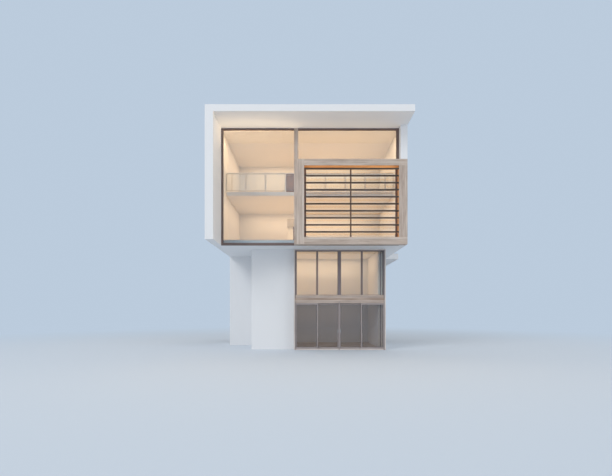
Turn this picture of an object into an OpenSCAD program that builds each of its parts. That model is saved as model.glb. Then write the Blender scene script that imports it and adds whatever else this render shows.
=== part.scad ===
// Modern alpine house: a white box that reaches out over a stepped two-storey base.
// Millimetres, +Z up. The front faces -Y and +X is to the right of someone facing it.
// The origin is on the ground, below the middle of the house's outer box.

/* [Overall] */
// Depth from the roof's front edge to the face of the back wall
house_depth = 12000; // [11000:50:13500]
// Width of the upper box over its two side walls
upper_w = 10040; // [9800:20:11000]
// Width of the two lower storeys
lower_w = 9240; // [8900:20:9700]
// Height from one floor to the next
storey = 2900; // [2800:10:3100]
// Top of the ground floor above the ground
ground_floor_z = 80; // [70:5:130]
// Clear height of the gallery room under the roof
gallery_room_h = 2920; // [2700:10:3200]

/* [Walls and slabs] */
// Thickness of the rendered outer walls
wall_t = 360; // [320:10:400]
// Thickness of the left wall, which runs forward as a blade
blade_t = 400; // [360:10:440]
// Height of the roof's edge
roof_t = 330; // [280:10:400]
// Height of the upstand around the roof, which is part of that edge
upstand_h = 80; // [60:5:120]
// Width of the upstand
upstand_w = 300; // [200:10:360]
// Depth of the drip groove under the roof's front edge
drip_depth = 12; // [8:1:20]
// Width of the drip groove
drip_w = 20; // [12:1:30]
// Distance of the drip groove from the roof's front edge and ends
drip_inset = 50; // [40:5:80]
// Thickness of the first and upper floors
floor_t = 290; // [240:10:320]
// Thickness of the gallery floor
gallery_t = 210; // [180:10:240]

/* [Steps of the front] */
// Distance of the upper windows behind the roof's front edge
window_recess = 1840; // [1500:20:2100]
// Distance of the lower front wall behind the roof's front edge
lower_recess = 3460; // [3300:20:3800]
// Distance of the left part of the base behind the roof's front edge
side_recess = 6340; // [5800:20:6800]
// Width of that left part of the base
side_w = 1760; // [1500:20:2000]
// Distance from the big window to the edge of the gallery
gallery_recess = 1400; // [1000:20:1800]

/* [Cross walls] */
// Distance from the upper windows to the plain wall at the back of the front rooms
room_depth = 5800; // [5600:20:6000]
// Thickness of the cross walls
cross_wall_t = 120; // [100:10:150]
// Width of the doorways in the cross walls
doorway_w = 900; // [800:10:1000]
// Height of those doorways
doorway_h = 2400; // [2100:20:2500]
// Distance of the base's doorways from the house's left face
lower_doorway_from_left = 3050; // [2600:10:3200]
// Distance of the upper doorways from the house's left face
upper_doorway_from_left = 3570; // [3300:10:3900]
// Thickness of the timber leaf in the gallery's doorway
room_door_t = 50; // [40:1:60]

/* [Side terrace] */
// How far the terrace reaches out past the right wall
terrace_reach = 860; // [700:20:1200]
// Distance of the terrace behind the roof's front edge
terrace_recess = 7470; // [7000:20:7800]
// Thickness of the terrace slab
terrace_t = 336; // [280:4:380]

/* [Upper front glazing] */
// Depth of the window frames from front to back
frame_d = 120; // [100:5:150]
// Width of the frame against the left blade wall
left_jamb_w = 100; // [70:5:140]
// Width of the frame against the right wall
right_jamb_w = 130; // [70:5:160]
// Height of the frame under the soffit
head_h = 85; // [60:5:180]
// Height of the frame along the edge of the upper floor
sill_h = 120; // [100:5:200]
// Width of the tall post between the big window and the louvre
post_w = 190; // [150:5:230]
// Distance of that post's left edge from the house's left face
post_from_left = 4215; // [4000:5:4400]
// Width of the mullion behind the left edge of the louvre's opening
edge_mullion_w = 100; // [70:5:120]
// How far that mullion reaches behind the louvre's left stile
edge_mullion_lap = 10; // [5:1:20]
// Width of the frame that lines the right jamb behind the louvre
louvre_jamb_w = 40; // [20:5:60]
// Width of the thin mullion behind the louvre
thin_mullion_w = 60; // [40:5:80]
// Height of the transom behind the louvre's top rail
mid_transom_h = 120; // [80:5:160]
// Thickness of a glazing unit
glass_t = 24; // [18:2:32]
// Distance of the glass behind the front of its frame
glass_inset = 40; // [20:5:60]

/* [Timber louvre] */
// How far the louvre box stands out in front of the windows
louvre_d = 360; // [280:10:440]
// Height of the louvre box
louvre_h = 4380; // [4200:10:4600]
// Height of its top rail
top_rail_h = 330; // [300:10:450]
// Height of its bottom rail
bottom_rail_h = 370; // [300:10:450]
// Width of its left stile
left_stile_w = 520; // [420:10:600]
// Width of its right stile
right_stile_w = 440; // [370:10:480]
// Distance between slats
slat_pitch = 362; // [340:1:365]
// Height of a slat's front face
slat_h = 72; // [50:2:100]
// Depth of a slat
slat_d = 90; // [60:5:140]
// Distance of the top slat's middle under the top rail
slat_first = 145; // [100:5:160]
// Least gap between the lowest slat and the bottom rail
slat_last_gap = 60; // [40:5:90]
// Distance of the slats behind the front of the louvre box
slat_inset = 40; // [20:5:80]
// Radius of a slat's long edges
slat_round = 10; // [6:1:14]
// How far a slat's ends are housed in the stiles
slat_housing = 18; // [12:1:25]
// Clearance around a slat's end in its housing
housing_gap = 0.5; // [0.3:0.1:0.8]

/* [Lower bay] */
// How far the bay stands out of the lower front wall
bay_proj = 340; // [300:10:400]
// Distance of the bay from the house's left face
bay_from_left = 4150; // [4000:10:4300]
// Thickness of the boards around the bay
bay_board_t = 60; // [40:5:80]
// Distance of the frames behind the front of those boards
bay_frame_inset = 60; // [40:5:80]
// Depth of the frames in the bay
bay_frame_d = 160; // [150:5:180]
// Width of the bay's left jamb
bay_left_jamb_w = 30; // [20:5:60]
// Width of the bay's right jamb
bay_right_jamb_w = 40; // [20:5:140]
// Width of the post between the two door units
bay_post_w = 60; // [50:5:80]
// Distance of that post's middle from the bay's left edge
bay_post_at = 2520; // [2450:10:2550]
// Width of the stiles and height of the light frame around each pane
stile_w = 60; // [50:5:80]
// Width of the meeting stiles seen from the front
meeting_w = 90; // [80:5:110]
// Height of the head frame over the first-floor panes
bay_head_h = 55; // [40:5:140]
// Height of the board that covers the edge of the first floor
spandrel_h = 180; // [160:5:200]
// Height of the frame below the first-floor panes
bay_sill_h = 180; // [140:5:220]

/* [Sliding doors] */
// Height of the threshold
threshold_h = 70; // [50:5:75]
// Thickness of a door leaf
leaf_t = 60; // [50:2:64]
// Height of a leaf's bottom rail
leaf_bottom_h = 80; // [70:5:120]
// Height of a leaf's top rail
leaf_top_h = 80; // [70:5:120]
// Height of the frame over the doors
door_head_h = 90; // [70:5:120]
// Gap under, over and between the leaves
leaf_gap = 10; // [8:1:14]
// Running clearance of a sliding leaf on its track
track_gap = 0.3; // [0.2:0.1:0.5]
// Width of the track rib under a sliding leaf
track_w = 12; // [8:1:20]
// Side gap between a closed sliding leaf and the post
close_gap = 6; // [5:1:10]

/* [Side and back windows] */
// Width of a window strip
strip_w = 2400; // [2000:50:2800]
// Depth of the outer reveal in front of its frames
strip_reveal = 120; // [80:5:160]
// Width of its middle mullion
strip_mullion_w = 100; // [60:5:140]
// Height of its frame above the ground
strip_sill_h = 160; // [120:5:200]
// How far its frames reach below and above the edge of a floor
strip_cover = 170; // [110:5:220]

/* [Gallery balustrade] */
// Height of the handrail over the gallery floor
rail_h = 1060; // [900:10:1100]
// Thickness of the handrail
handrail_t = 50; // [40:2:60]
// Width of a post
rail_post_w = 50; // [40:2:60]
// Distance of the first post's middle from the left wall
rail_post_first = 1060; // [900:10:1100]
// Distance between posts
rail_post_pitch = 1110; // [1000:10:1200]
// Thickness of the glass between the posts
rail_glass_t = 16; // [12:2:20]
// Height of the glass over the gallery floor
rail_glass_foot = 60; // [40:5:100]
// Least width of the last pane
rail_pane_min = 200; // [150:10:300]

/* [Hidden] */

white = "#e6e8ec";
timber = "#7d766c";
frame_grey = "#55555c";
trim_grey = "#b9b6b4";
door_brown = "#6e4a34";
glazing = [0.75, 0.82, 0.88, 0.4];

// Outer faces of the house
x_left = -(upper_w + terrace_reach) / 2;
x_right = x_left + upper_w;
x_lower_right = x_left + lower_w;
y_front = -house_depth / 2;
y_back = house_depth / 2;

// Inner faces of the walls
x_blade_in = x_left + blade_t;
x_right_in = x_right - wall_t;
x_lower_left_in = x_left + wall_t;
x_lower_right_in = x_lower_right - wall_t;
y_back_in = y_back - wall_t;

// Floor levels
z_first = ground_floor_z + storey;
z_upper = ground_floor_z + 2 * storey;
z_gallery = ground_floor_z + 3 * storey;
z_under = z_upper - floor_t;
z_soffit = z_gallery + gallery_room_h;
z_roof = z_soffit + roof_t;
z_roof_deck = z_roof - upstand_h;

// Upper front
y_window = y_front + window_recess;
y_upper_slab = y_window + frame_d;
x_post = x_left + post_from_left;
x_post_right = x_post + post_w;
y_louvre = y_window - louvre_d;
z_louvre_top = z_under + louvre_h;
z_louvre_open_top = z_louvre_top - top_rail_h;
z_louvre_open_bottom = z_under + bottom_rail_h;
x_louvre_open_left = x_post + left_stile_w;
x_louvre_open_right = x_right - right_stile_w;
x_right_jamb = x_right_in - right_jamb_w;
x_left_jamb = x_blade_in + left_jamb_w;
x_louvre_jamb = x_right_jamb - louvre_jamb_w;
z_sill_top = z_under + sill_h;
z_head = z_soffit - head_h;
z_mid_transom = z_louvre_top - mid_transom_h / 2;
x_edge_mullion = x_louvre_open_left - edge_mullion_lap;
x_edge_mullion_r = x_edge_mullion + edge_mullion_w;
x_thin_mullion = (x_louvre_open_left + x_louvre_open_right - thin_mullion_w) / 2;
x_thin_mullion_r = x_thin_mullion + thin_mullion_w;
z_mid_transom_under = z_mid_transom - mid_transom_h / 2;
z_mid_transom_top = z_mid_transom + mid_transom_h / 2;
y_gallery = y_window + gallery_recess;

// Gallery balustrade
z_handrail = z_gallery + rail_h - handrail_t;
rail_run = x_right_in - x_blade_in;
rail_post_room = rail_run - rail_post_first - rail_post_w / 2 - rail_pane_min;
rail_post_n = floor(rail_post_room / rail_post_pitch) + 1;

// Cross walls, in one plane on every storey
y_cross = y_window + room_depth;
y_cross_back = y_cross + cross_wall_t;
x_lower_doorway = x_left + lower_doorway_from_left;
x_upper_doorway = x_left + upper_doorway_from_left;

// Louvre slats
y_slat = y_louvre + slat_inset;
slat_room = z_louvre_open_top - z_louvre_open_bottom - slat_first - slat_h / 2 - slat_last_gap;
slat_n = floor(slat_room / slat_pitch) + 1;

// Base
y_lower = y_front + lower_recess;
y_lower_in = y_lower + wall_t;
y_side = y_front + side_recess;
y_side_in = y_side + wall_t;
x_side = x_left + side_w;
x_side_in = x_side + wall_t;

// Bay
x_bay = x_left + bay_from_left;
x_bay_in = x_bay + bay_board_t;
x_bay_right_in = x_lower_right - bay_board_t;
y_bay = y_lower - bay_proj;
y_bay_frame = y_bay + bay_frame_inset;
y_bay_back = y_bay_frame + bay_frame_d;
x_post_l = x_bay + bay_post_at - bay_post_w / 2;
x_post_r = x_post_l + bay_post_w;
x_unit_l = x_bay_in + bay_left_jamb_w;
x_unit_r = x_bay_right_in - bay_right_jamb_w;
x_meet_l = (x_unit_l + x_post_l) / 2;
x_meet_r = (x_post_r + x_unit_r) / 2;
z_bay_head = z_under - bay_board_t;
z_first_glass_top = z_bay_head - bay_head_h;
z_spandrel = z_first - floor_t;
z_spandrel_top = z_spandrel + spandrel_h;
z_first_glass = z_spandrel_top + bay_sill_h;

// Door leaves: the fixed ones stand in front, and the sliding ones run behind them
y_fixed = y_bay_frame + leaf_gap;
y_sliding = y_fixed + leaf_t + leaf_gap;
z_door_head = z_spandrel - door_head_h;
z_leaf = threshold_h + leaf_gap;
z_leaf_top = z_door_head - leaf_gap;
z_leaf_glass = z_leaf + leaf_bottom_h;
z_leaf_glass_top = z_leaf_top - leaf_top_h;

// Window strips of the hidden sides: the level of each glass edge
lower_strip_z = [0, strip_sill_h, z_first - floor_t - strip_cover, z_first + strip_cover,
                 z_under - strip_cover, z_under];
upper_strip_z = [z_under, z_upper + strip_cover, z_gallery - gallery_t - strip_cover,
                 z_gallery + strip_cover, z_head, z_soffit];
side_strip_y = (y_cross_back + y_back_in - strip_w) / 2;
lower_back_strip_x = (x_left + x_lower_right - strip_w) / 2;
upper_back_strip_x = (x_left + x_right - strip_w) / 2;

// A solid block between two corners
module block(x0, x1, y0, y1, z0, z1) {
  translate([x0, y0, z0]) cube([x1 - x0, y1 - y0, z1 - z0]);
}

// A sheet of glass in the plane of the front, between its frame's inner edges
module front_pane(x0, x1, y_face, z0, z1) {
  block(x0, x1, y_face, y_face + glass_t, z0, z1);
}

// Two piers of a side wall, beside its window strip
module piers_along_y(x0, x1, y0, y1, z0, z1) {
  block(x0, x1, y0, side_strip_y, z0, z1);
  block(x0, x1, side_strip_y + strip_w, y1, z0, z1);
}

// Two piers of a wall that runs along X, beside a window strip
module piers_along_x(x0, x1, y0, y1, strip_x, z0, z1) {
  block(x0, strip_x, y0, y1, z0, z1);
  block(strip_x + strip_w, x1, y0, y1, z0, z1);
}

// A cross wall of one storey: the wall on both sides of its doorway and the lintel over it
module cross_wall(x0, x1, x_door, z0, z1) {
  x_door_r = x_door + doorway_w;
  block(x0, x_door, y_cross, y_cross_back, z0, z1);
  block(x_door_r, x1, y_cross, y_cross_back, z0, z1);
  block(x_door, x_door_r, y_cross, y_cross_back, z0 + doorway_h, z1);
}

// The plan of a floor of the base, with a tongue into the bay
module base_floor_plan() {
  polygon([
    [x_lower_left_in, y_back_in], [x_lower_left_in, y_side_in], [x_side_in, y_side_in],
    [x_side_in, y_lower_in], [x_bay_in, y_lower_in], [x_bay_in, y_bay_back],
    [x_bay_right_in, y_bay_back], [x_bay_right_in, y_lower], [x_lower_right_in, y_lower],
    [x_lower_right_in, y_back_in]
  ]);
}

// Horizontal members of a window strip, drawn along +X with the outside at -Y
module strip_transoms(levels) {
  for (i = [0, 2, 4])
    block(0, strip_w, strip_reveal, wall_t, levels[i], levels[i + 1]);
}

// Upright members of a window strip
module strip_mullions(levels) {
  for (i = [1, 3], x = [0, (strip_w - strip_mullion_w) / 2, strip_w - stile_w])
    block(x, x + (x == 0 || x == strip_w - stile_w ? stile_w : strip_mullion_w),
          strip_reveal, strip_reveal + frame_d, levels[i], levels[i + 1]);
}

// Panes of a window strip
module strip_panes(levels) {
  half = (strip_w - strip_mullion_w) / 2;
  for (i = [1, 3], x = [stile_w, half + strip_mullion_w])
    front_pane(x, x + half - stile_w, strip_reveal + glass_inset, levels[i], levels[i + 1]);
}

// Puts a strip in a wall of the base or of the upper box
module on_left(x_face) {
  translate([x_face, side_strip_y + strip_w, 0]) rotate([0, 0, -90]) children();
}
module on_right(x_face) {
  translate([x_face, side_strip_y, 0]) rotate([0, 0, 90]) children();
}
module on_back(strip_x) {
  translate([strip_x + strip_w, y_back, 0]) rotate([0, 0, 180]) children();
}
module base_strips() {
  on_left(x_left) children();
  on_right(x_lower_right) children();
  on_back(lower_back_strip_x) children();
}
module upper_strips() {
  on_left(x_left) children();
  on_right(x_right) children();
  on_back(upper_back_strip_x) children();
}

// Shell of the upper box
module roof_slab() {
  y_drip = y_front + drip_inset;
  color(white) difference() {
    block(x_left, x_right, y_front, y_back, z_soffit, z_roof_deck);
    block(x_left + drip_inset, x_right - drip_inset, y_drip, y_drip + drip_w,
          z_soffit - drip_depth, z_soffit + drip_depth);
  }
}

// Upstand around the roof, which keeps the water on the deck
module roof_upstand() {
  y_front_in = y_front + upstand_w;
  y_back_edge = y_back - upstand_w;
  color(white) {
    block(x_left, x_right, y_front, y_front_in, z_roof_deck, z_roof);
    block(x_left, x_right, y_back_edge, y_back, z_roof_deck, z_roof);
    for (x = [x_left, x_right - upstand_w])
      block(x, x + upstand_w, y_front_in, y_back_edge, z_roof_deck, z_roof);
  }
}
module left_blade_wall() {
  color(white) piers_along_y(x_left, x_blade_in, y_front, y_back, z_under, z_soffit);
}
module right_front_pier() {
  color(white) block(x_right_in, x_right, y_louvre, y_window, z_louvre_top, z_soffit);
}
module upper_right_wall() {
  color(white) piers_along_y(x_right_in, x_right, y_window, y_back, z_under, z_soffit);
}
module upper_back_wall() {
  color(white)
    piers_along_x(x_blade_in, x_right_in, y_back_in, y_back, upper_back_strip_x,
                  z_under, z_soffit);
}
module upper_floor_slab() {
  color(white) block(x_blade_in, x_right_in, y_upper_slab, y_back_in, z_under, z_upper);
}
module gallery_floor() {
  color(white)
    block(x_blade_in, x_right_in, y_gallery, y_back_in, z_gallery - gallery_t, z_gallery);
}
module side_terrace_slab() {
  color(white)
    block(x_right, x_right + terrace_reach, y_front + terrace_recess, y_back,
          z_under, z_under + terrace_t);
}

module upper_cross_wall() {
  color(white) {
    cross_wall(x_blade_in, x_right_in, x_upper_doorway, z_upper, z_gallery - gallery_t);
    cross_wall(x_blade_in, x_right_in, x_upper_doorway, z_gallery, z_soffit);
  }
}

// Timber leaf in the gallery's doorway, shut
module gallery_room_door() {
  y_leaf = y_cross + (cross_wall_t - room_door_t) / 2;
  color(door_brown)
    block(x_upper_doorway, x_upper_doorway + doorway_w, y_leaf, y_leaf + room_door_t,
          z_gallery, z_gallery + doorway_h);
}

// Middle of a post of the balustrade, counted from the left
function rail_post_x(i) = x_blade_in + rail_post_first + i * rail_post_pitch;

// Balustrade along the edge of the gallery: posts under one handrail, and glass between them
module gallery_balustrade() {
  color(white) union() {
    block(x_blade_in, x_right_in, y_gallery, y_gallery + handrail_t, z_handrail,
          z_handrail + handrail_t);
    for (i = [0 : rail_post_n - 1])
      block(rail_post_x(i) - rail_post_w / 2, rail_post_x(i) + rail_post_w / 2, y_gallery,
            y_gallery + handrail_t, z_gallery, z_handrail);
  }
}
module gallery_balustrade_panes() {
  y_pane = y_gallery + (handrail_t - rail_glass_t) / 2;
  last = rail_post_n - 1;
  color(glazing)
    for (i = [0 : rail_post_n]) {
      x0 = i == 0 ? x_blade_in : rail_post_x(i - 1) + rail_post_w / 2;
      x1 = i > last ? x_right_in : rail_post_x(i) - rail_post_w / 2;
      block(x0, x1, y_pane, y_pane + rail_glass_t, z_gallery + rail_glass_foot, z_handrail);
    }
}

// Upper front glazing
module tall_timber_post() {
  color(timber) block(x_post, x_post_right, y_window, y_upper_slab, z_under, z_soffit);
}
module upper_front_mullions() {
  color(frame_grey) {
    block(x_blade_in, x_left_jamb, y_window, y_upper_slab, z_under, z_soffit);
    block(x_right_jamb, x_right_in, y_window, y_upper_slab, z_under, z_soffit);
    for (span = [[x_edge_mullion, x_edge_mullion_r], [x_thin_mullion, x_thin_mullion_r]])
      block(span[0], span[1], y_window, y_upper_slab, z_sill_top, z_mid_transom_under);
    block(x_louvre_jamb, x_right_jamb, y_window, y_upper_slab, z_sill_top,
          z_mid_transom_under);
  }
}
module upper_front_transoms() {
  color(frame_grey) {
    for (span = [[x_left_jamb, x_post], [x_post_right, x_right_jamb]]) {
      block(span[0], span[1], y_window, y_upper_slab, z_head, z_soffit);
      block(span[0], span[1], y_window, y_upper_slab, z_under, z_sill_top);
    }
    block(x_post_right, x_right_jamb, y_window, y_upper_slab, z_mid_transom_under,
          z_mid_transom_top);
  }
}
module big_window_pane() {
  color(glazing)
    front_pane(x_left_jamb, x_post, y_window + glass_inset, z_sill_top, z_head);
}
module clerestory_pane() {
  color(glazing)
    front_pane(x_post_right, x_right_jamb, y_window + glass_inset, z_mid_transom_top, z_head);
}
module louvre_window_panes() {
  color(glazing)
    for (span = [[x_post_right, x_edge_mullion], [x_edge_mullion_r, x_thin_mullion],
                 [x_thin_mullion_r, x_louvre_jamb]])
      front_pane(span[0], span[1], y_window + glass_inset, z_sill_top, z_mid_transom_under);
}

// Timber louvre box: the left stile runs through, and the right one stands between the rails
module louvre_rails() {
  color(timber) {
    block(x_louvre_open_left, x_right, y_louvre, y_window, z_louvre_open_top, z_louvre_top);
    block(x_louvre_open_left, x_right, y_louvre, y_window, z_under, z_louvre_open_bottom);
  }
}
module louvre_stiles() {
  color(timber) difference() {
    union() {
      block(x_post, x_louvre_open_left, y_louvre, y_window, z_under, z_louvre_top);
      block(x_louvre_open_right, x_right, y_louvre, y_window, z_louvre_open_bottom,
            z_louvre_open_top);
    }
    slat_housings();
  }
}

// Height of a slat's middle, counted from the top
function slat_z(i) = z_louvre_open_top - slat_first - i * slat_pitch;

// Housings that the slats' ends stand in
module slat_housings() {
  for (i = [0 : slat_n - 1])
    block(x_louvre_open_left - slat_housing - housing_gap,
          x_louvre_open_right + slat_housing + housing_gap,
          y_slat - housing_gap, y_slat + slat_d + housing_gap,
          slat_z(i) - slat_h / 2 - housing_gap, slat_z(i) + slat_h / 2 + housing_gap);
}

// Section of a slat with rounded long edges, its front at 0
module slat_section() {
  translate([slat_round, 0]) square([slat_d - 2 * slat_round, slat_h]);
  translate([0, slat_round]) square([slat_d, slat_h - 2 * slat_round]);
  for (y = [slat_round, slat_d - slat_round], z = [slat_round, slat_h - slat_round])
    translate([y, z]) circle(slat_round, $fn = 24);
}
module louvre_slats() {
  color(timber)
    for (i = [0 : slat_n - 1])
      translate([x_louvre_open_left - slat_housing, y_slat, slat_z(i) - slat_h / 2])
        rotate([90, 0, 90])
          linear_extrude(x_louvre_open_right - x_louvre_open_left + 2 * slat_housing)
            slat_section();
}

// Walls and floors of the base
module lower_front_wall() {
  color(white) block(x_side, x_bay, y_lower, y_lower_in, 0, z_under);
}
module lower_return_wall() {
  color(white) block(x_side, x_side_in, y_lower_in, y_side_in, 0, z_under);
}
module lower_recessed_wall() {
  color(white) block(x_left, x_side, y_side, y_side_in, 0, z_under);
}
module lower_left_wall() {
  color(white)
    piers_along_y(x_left, x_lower_left_in, y_side_in, y_back, 0, z_under);
}
module lower_right_wall() {
  color(white) piers_along_y(x_lower_right_in, x_lower_right, y_lower, y_back, 0, z_under);
}
module lower_back_wall() {
  color(white)
    piers_along_x(x_lower_left_in, x_lower_right_in, y_back_in, y_back, lower_back_strip_x,
                  0, z_under);
}
module lower_cross_wall() {
  color(white) {
    cross_wall(x_lower_left_in, x_lower_right_in, x_lower_doorway, ground_floor_z, z_spandrel);
    cross_wall(x_lower_left_in, x_lower_right_in, x_lower_doorway, z_first, z_under);
  }
}
module ground_slab() {
  color(white) linear_extrude(ground_floor_z) base_floor_plan();
}
module first_floor_slab() {
  color(white) translate([0, 0, z_first - floor_t]) linear_extrude(floor_t) base_floor_plan();
}

// Boards and posts of the bay
module bay_side_boards() {
  color(trim_grey) {
    block(x_bay, x_bay_in, y_bay, y_lower_in, 0, z_under);
    block(x_bay_right_in, x_lower_right, y_bay, y_lower, 0, z_under);
  }
}
module bay_head_board() {
  color(trim_grey) block(x_bay_in, x_bay_right_in, y_bay, y_bay_back, z_bay_head, z_under);
}
module bay_posts() {
  color(frame_grey) {
    block(x_bay_in, x_unit_l, y_bay_frame, y_bay_back, 0, z_bay_head);
    block(x_post_l, x_post_r, y_bay_frame, y_bay_back, 0, z_bay_head);
    block(x_unit_r, x_bay_right_in, y_bay_frame, y_bay_back, 0, z_bay_head);
  }
}

// Threshold of both door units, with a track rib under each sliding leaf
module door_threshold() {
  y_track = y_sliding + (leaf_t - track_w) / 2;
  color(frame_grey)
    for (span = [[x_unit_l, x_post_l], [x_post_r, x_unit_r]])
      union() {
        block(span[0], span[1], y_bay_frame, y_bay_back, 0, threshold_h);
        block(span[0], span[1], y_track, y_track + track_w, 0, z_leaf - track_gap);
      }
}
module door_head_frame() {
  color(frame_grey)
    for (span = [[x_unit_l, x_post_l], [x_post_r, x_unit_r]])
      block(span[0], span[1], y_bay_frame, y_bay_back, z_door_head, z_spandrel);
}
module bay_spandrel_board() {
  color(timber)
    for (span = [[x_unit_l, x_post_l], [x_post_r, x_unit_r]])
      block(span[0], span[1], y_bay_frame, y_bay_back, z_spandrel, z_spandrel_top);
}

// First-floor windows of the bay
module first_floor_transoms() {
  color(frame_grey)
    for (span = [[x_unit_l, x_post_l], [x_post_r, x_unit_r]]) {
      block(span[0], span[1], y_bay_frame, y_bay_back, z_spandrel_top, z_first_glass);
      block(span[0], span[1], y_bay_frame, y_bay_back, z_first_glass_top, z_bay_head);
    }
}
module first_floor_mullions() {
  color(frame_grey)
    for (span = [[x_unit_l, x_unit_l + stile_w],
                 [x_meet_l - meeting_w / 2, x_meet_l + meeting_w / 2],
                 [x_post_l - stile_w, x_post_l], [x_post_r, x_post_r + stile_w],
                 [x_meet_r - meeting_w / 2, x_meet_r + meeting_w / 2],
                 [x_unit_r - stile_w, x_unit_r]])
      block(span[0], span[1], y_fixed, y_fixed + leaf_t, z_first_glass, z_first_glass_top);
}
module first_floor_panes() {
  color(glazing)
    for (span = [[x_unit_l + stile_w, x_meet_l - meeting_w / 2],
                 [x_meet_l + meeting_w / 2, x_post_l - stile_w],
                 [x_post_r + stile_w, x_meet_r - meeting_w / 2],
                 [x_meet_r + meeting_w / 2, x_unit_r - stile_w]])
      front_pane(span[0], span[1], y_fixed + (leaf_t - glass_t) / 2, z_first_glass,
                 z_first_glass_top);
}

// A door leaf's frame between two sides and two levels
module leaf(x0, x1, y, z0, z1) {
  difference() {
    block(x0, x1, y, y + leaf_t, z0, z1);
    block(x0 + stile_w, x1 - stile_w, y - leaf_t, y + 2 * leaf_t, z_leaf_glass,
          z_leaf_glass_top);
  }
}
module leaf_pane(x0, x1, y) {
  front_pane(x0 + stile_w, x1 - stile_w, y + (leaf_t - glass_t) / 2, z_leaf_glass,
             z_leaf_glass_top);
}
module fixed_door_leaves() {
  color(frame_grey) {
    leaf(x_unit_l, x_meet_l + meeting_w / 2, y_fixed, threshold_h, z_door_head);
    leaf(x_meet_r - meeting_w / 2, x_unit_r, y_fixed, threshold_h, z_door_head);
  }
}
module fixed_door_panes() {
  color(glazing) {
    leaf_pane(x_unit_l, x_meet_l + meeting_w / 2, y_fixed);
    leaf_pane(x_meet_r - meeting_w / 2, x_unit_r, y_fixed);
  }
}
module left_sliding_leaf() {
  color(frame_grey)
    leaf(x_meet_l - meeting_w / 2, x_post_l - close_gap, y_sliding, z_leaf, z_leaf_top);
}
module left_sliding_pane() {
  color(glazing) leaf_pane(x_meet_l - meeting_w / 2, x_post_l - close_gap, y_sliding);
}
module right_sliding_leaf() {
  color(frame_grey)
    leaf(x_post_r + close_gap, x_meet_r + meeting_w / 2, y_sliding, z_leaf, z_leaf_top);
}
module right_sliding_pane() {
  color(glazing) leaf_pane(x_post_r + close_gap, x_meet_r + meeting_w / 2, y_sliding);
}

// Windows of the hidden sides
module lower_window_mullions() { color(frame_grey) base_strips() strip_mullions(lower_strip_z); }
module lower_window_transoms() { color(frame_grey) base_strips() strip_transoms(lower_strip_z); }
module lower_window_panes() { color(glazing) base_strips() strip_panes(lower_strip_z); }
module upper_window_mullions() { color(frame_grey) upper_strips() strip_mullions(upper_strip_z); }
module upper_window_transoms() { color(frame_grey) upper_strips() strip_transoms(upper_strip_z); }
module upper_window_panes() { color(glazing) upper_strips() strip_panes(upper_strip_z); }

roof_slab();
roof_upstand();
left_blade_wall();
right_front_pier();
upper_right_wall();
upper_back_wall();
upper_floor_slab();
gallery_floor();
gallery_balustrade();
gallery_balustrade_panes();
side_terrace_slab();
upper_cross_wall();
gallery_room_door();
tall_timber_post();
upper_front_mullions();
upper_front_transoms();
big_window_pane();
clerestory_pane();
louvre_window_panes();
louvre_rails();
louvre_stiles();
louvre_slats();
lower_front_wall();
lower_return_wall();
lower_recessed_wall();
lower_left_wall();
lower_right_wall();
lower_back_wall();
lower_cross_wall();
ground_slab();
first_floor_slab();
bay_side_boards();
bay_head_board();
bay_posts();
door_threshold();
door_head_frame();
bay_spandrel_board();
first_floor_transoms();
first_floor_mullions();
first_floor_panes();
fixed_door_leaves();
fixed_door_panes();
left_sliding_leaf();
left_sliding_pane();
right_sliding_leaf();
right_sliding_pane();
lower_window_mullions();
lower_window_transoms();
lower_window_panes();
upper_window_mullions();
upper_window_transoms();
upper_window_panes();
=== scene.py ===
"""Looks of the modern alpine house: finishes, boards, seals, fittings, lamps, studio, camera.

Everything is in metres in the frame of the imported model: +Z up, the front faces -Y.
"""

import logging
import math
import random
from abc import ABC, abstractmethod
from collections.abc import Iterable, Sequence
from dataclasses import dataclass, field
from enum import Enum, IntEnum
from typing import NamedTuple

import bpy
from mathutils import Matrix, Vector


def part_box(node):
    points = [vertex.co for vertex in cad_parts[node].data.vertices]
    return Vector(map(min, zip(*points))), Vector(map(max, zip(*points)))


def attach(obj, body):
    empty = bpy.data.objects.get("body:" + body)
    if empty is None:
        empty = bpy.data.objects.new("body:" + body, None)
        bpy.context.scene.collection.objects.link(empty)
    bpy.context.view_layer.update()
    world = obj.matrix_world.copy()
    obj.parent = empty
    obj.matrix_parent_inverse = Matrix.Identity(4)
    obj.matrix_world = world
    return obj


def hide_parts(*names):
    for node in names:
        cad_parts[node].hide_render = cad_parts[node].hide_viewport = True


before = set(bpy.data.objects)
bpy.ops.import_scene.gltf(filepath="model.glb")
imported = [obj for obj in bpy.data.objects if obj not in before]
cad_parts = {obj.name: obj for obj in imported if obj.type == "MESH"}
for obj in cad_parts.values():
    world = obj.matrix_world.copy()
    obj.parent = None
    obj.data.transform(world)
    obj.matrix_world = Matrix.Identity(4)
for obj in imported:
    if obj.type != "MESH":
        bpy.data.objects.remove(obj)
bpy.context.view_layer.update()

LOG = logging.getLogger("alpine_house")
BOARD_TONE = "board_tone"
BOARD_SHIFT = (1.0, 0.7, 1.3)
SHARP_ANGLE = math.radians(40.0)

Colour = tuple[float, float, float]
Point = tuple[float, float, float]
Corners = tuple[Vector, Vector]
Pair = tuple[float, float]
Steps = tuple[Pair, ...]
Socket = bpy.types.NodeSocket


class Axis(IntEnum):
    """An axis of the model, as its place in a coordinate."""

    X = 0
    Y = 1
    Z = 2


class Body(Enum):
    """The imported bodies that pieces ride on."""

    HOUSE = "house"
    LEFT_DOOR = "left_door"
    RIGHT_DOOR = "right_door"


class Face(NamedTuple):
    """A face of a piece, with its corners as places in the list of points."""

    corners: tuple[int, ...]
    tone: float
    slot: int = 0
    smooth: bool = False


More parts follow.
